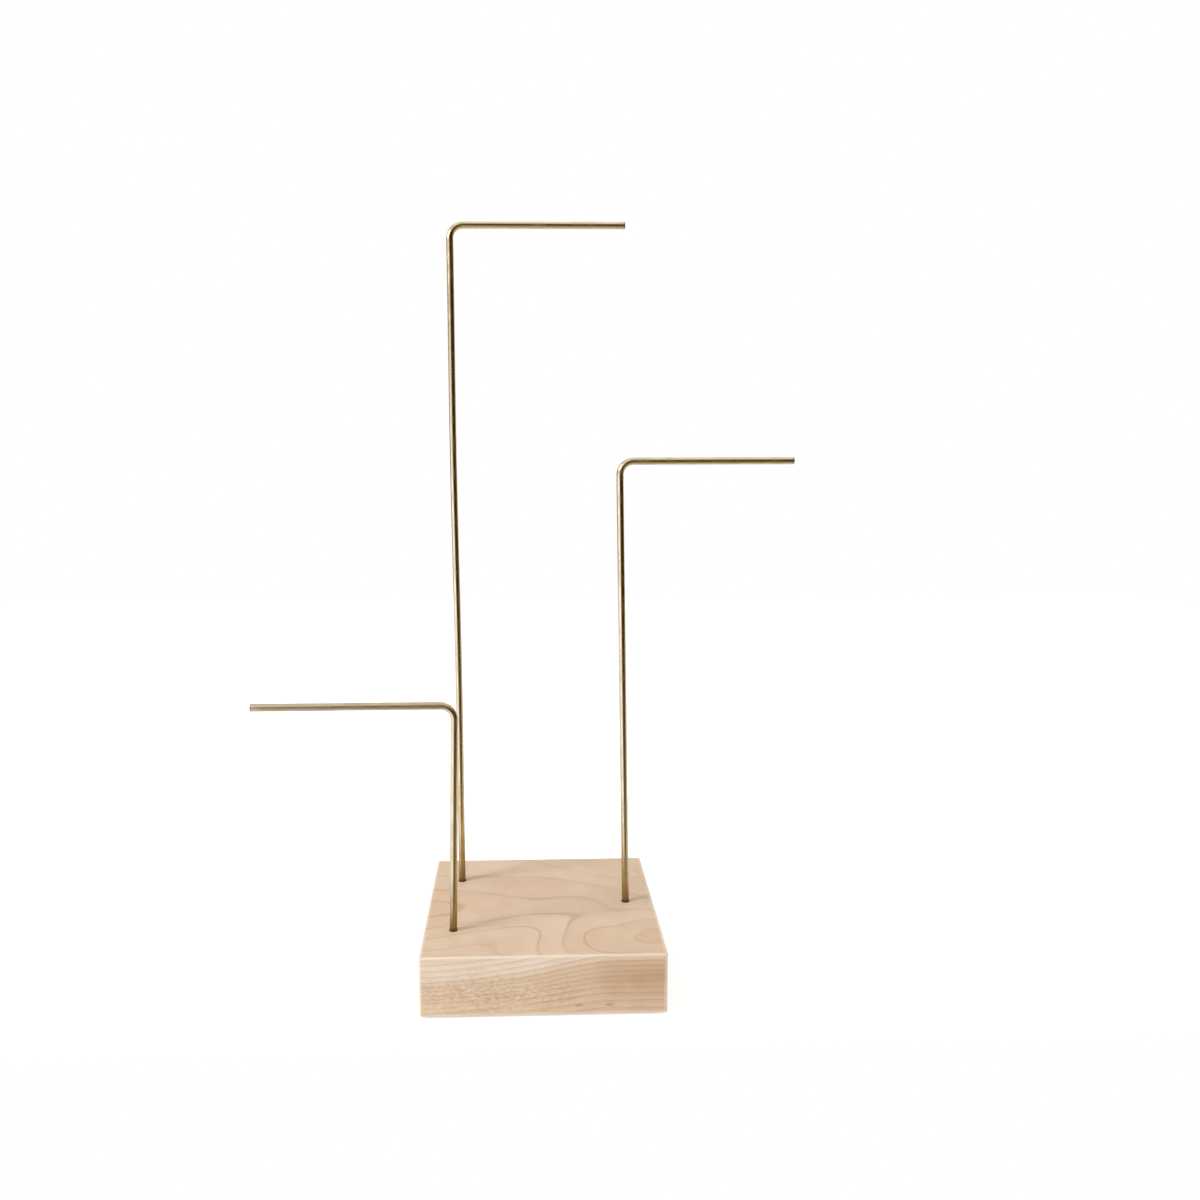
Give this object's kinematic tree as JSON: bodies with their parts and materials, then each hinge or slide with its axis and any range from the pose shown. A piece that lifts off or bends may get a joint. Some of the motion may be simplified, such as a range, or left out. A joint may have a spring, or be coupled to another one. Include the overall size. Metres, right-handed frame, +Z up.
{
  "type": "jewellery stand with three brass rods",
  "caption": "Square maple block with bent brass rods of unequal height standing in it, whose level arms hold hanging necklaces and earrings.",
  "frame": {"origin": "middle of the block's footprint, on the surface that the stand rests on", "axes": "+X to the right, the way the tall and middle arms point at rest, +Y away from the viewer at the front, +Z up"},
  "size_m": [0.2323, 0.1016, 0.332],
  "materials": {
    "maple": "sanded, clear matte oil",
    "felt": "thin wool felt",
    "brass": "satin polished"
  },
  "bodies": {
    "base": {"base_block": "maple", "base_pad": "felt"},
    "tall_rod": {"tall_rod": "brass"},
    "middle_rod": {"middle_rod": "brass"},
    "low_rod": {"low_rod": "brass"}
  },
  "joints": [
    {"name": "tall_rod_swivel", "type": "hinge", "parent": "base", "child": "tall_rod", "pos_m": [-0.0373, 0.026, 0.0262], "axis": [-0.0052, 0, 1], "continuous": true},
    {"name": "middle_rod_swivel", "type": "hinge", "parent": "base", "child": "middle_rod", "pos_m": [0.0384, 0, 0.0262], "axis": [-0.0166, 0, 0.9999], "range_deg": [-195, 157]},
    {"name": "low_rod_swivel", "type": "hinge", "parent": "base", "child": "low_rod", "pos_m": [-0.0382, -0.026, 0.0262], "axis": [0.0192, 0, 0.9998], "range_deg": [-82, 195]}
  ]
}
